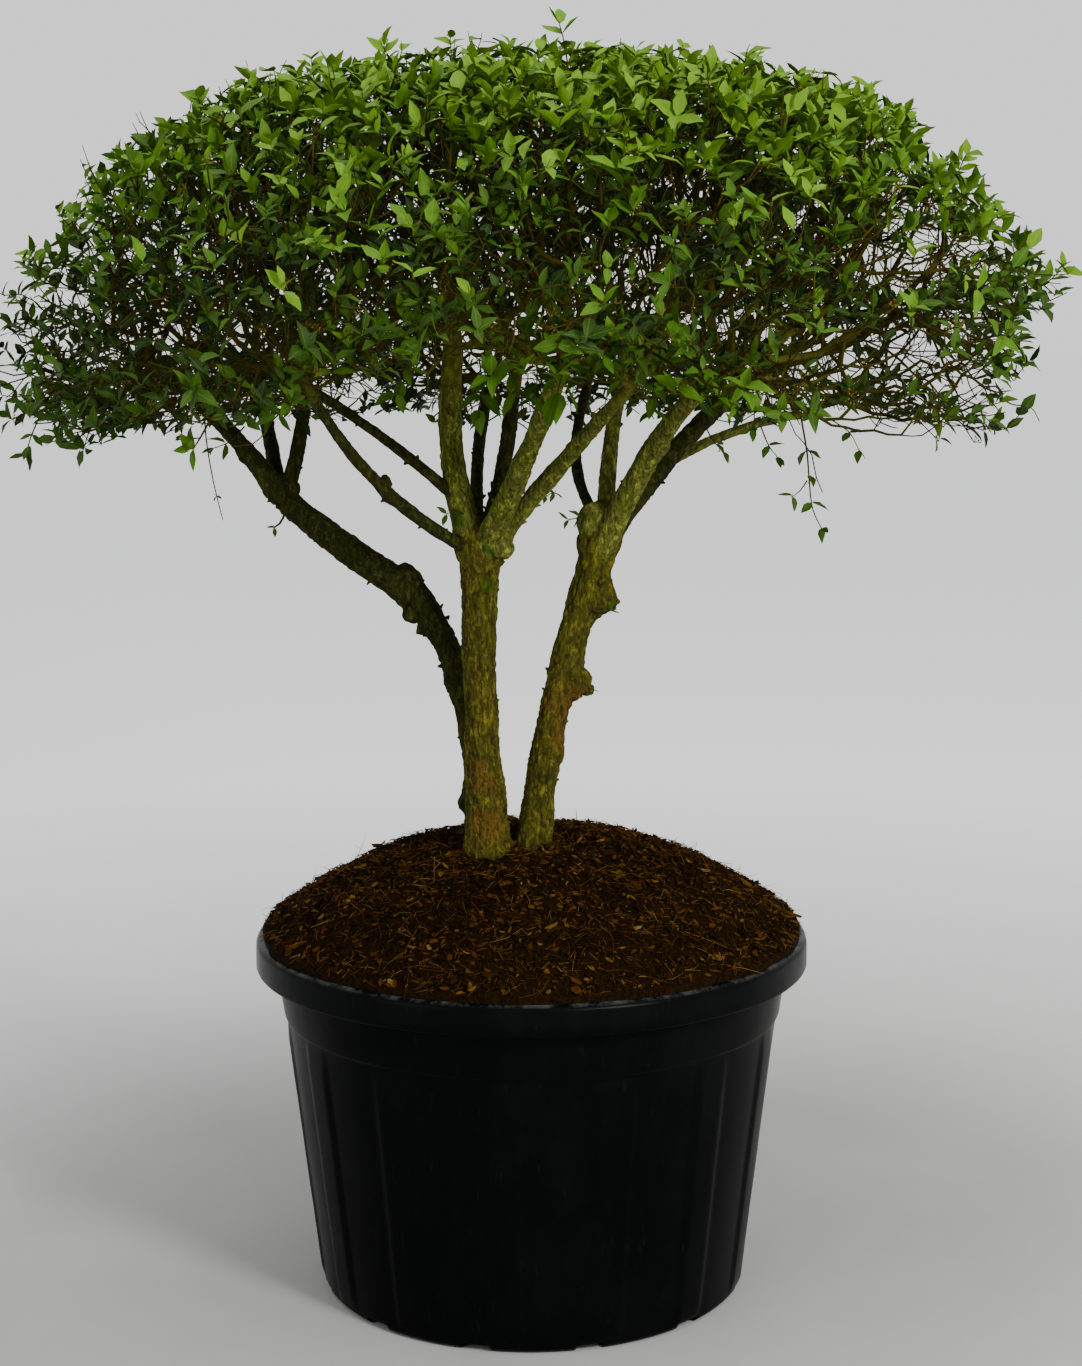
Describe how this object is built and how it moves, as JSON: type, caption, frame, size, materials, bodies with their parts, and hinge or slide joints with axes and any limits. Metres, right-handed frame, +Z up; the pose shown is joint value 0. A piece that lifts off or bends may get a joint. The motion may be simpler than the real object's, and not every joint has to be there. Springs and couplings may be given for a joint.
{
  "type": "potted shrub",
  "caption": "Multi-stemmed cornelian cherry with an umbrella-shaped crown of young leaves, in a large round nursery pot with a rolled lip, heaped with bark mulch.",
  "frame": {"origin": "middle of the pot's flat underside, on the ground", "axes": "+Z up; the plant's best side faces -Y; +X to the right as seen from that side"},
  "size_m": [1.7413, 1.4964, 2.0183],
  "materials": {
    "pot": "satin, slightly scuffed",
    "mulch": "loose, rough",
    "bark": "rough, scaly",
    "foliage": "satin leaf"
  },
  "bodies": {
    "root": {"pot": "pot", "mulch_mound": "mulch", "middle_stem": "bark", "right_stem": "bark", "left_stem": "bark", "left_stem_upper": "bark", "bough_upright": "bark", "bough_front": "bark", "bough_right_front": "bark", "bough_right": "bark", "bough_front_right": "bark", "bough_crown": "bark", "bough_right_top": "bark", "bough_left": "bark", "bough_left_top": "bark", "bough_left_back": "bark", "bough_back": "bark", "bough_front_left": "bark", "bough_back_right": "bark", "bough_left_front": "bark", "bough_right_back": "bark", "foliage_upright": "foliage", "foliage_front": "foliage", "foliage_right_front": "foliage", "foliage_right": "foliage", "foliage_front_right": "foliage", "foliage_crown": "foliage", "foliage_right_top": "foliage", "foliage_left": "foliage", "foliage_left_top": "foliage", "foliage_left_back": "foliage", "foliage_back": "foliage", "foliage_front_left": "foliage", "foliage_back_right": "foliage", "foliage_left_front": "foliage", "foliage_right_back": "foliage"}
  },
  "joints": []
}
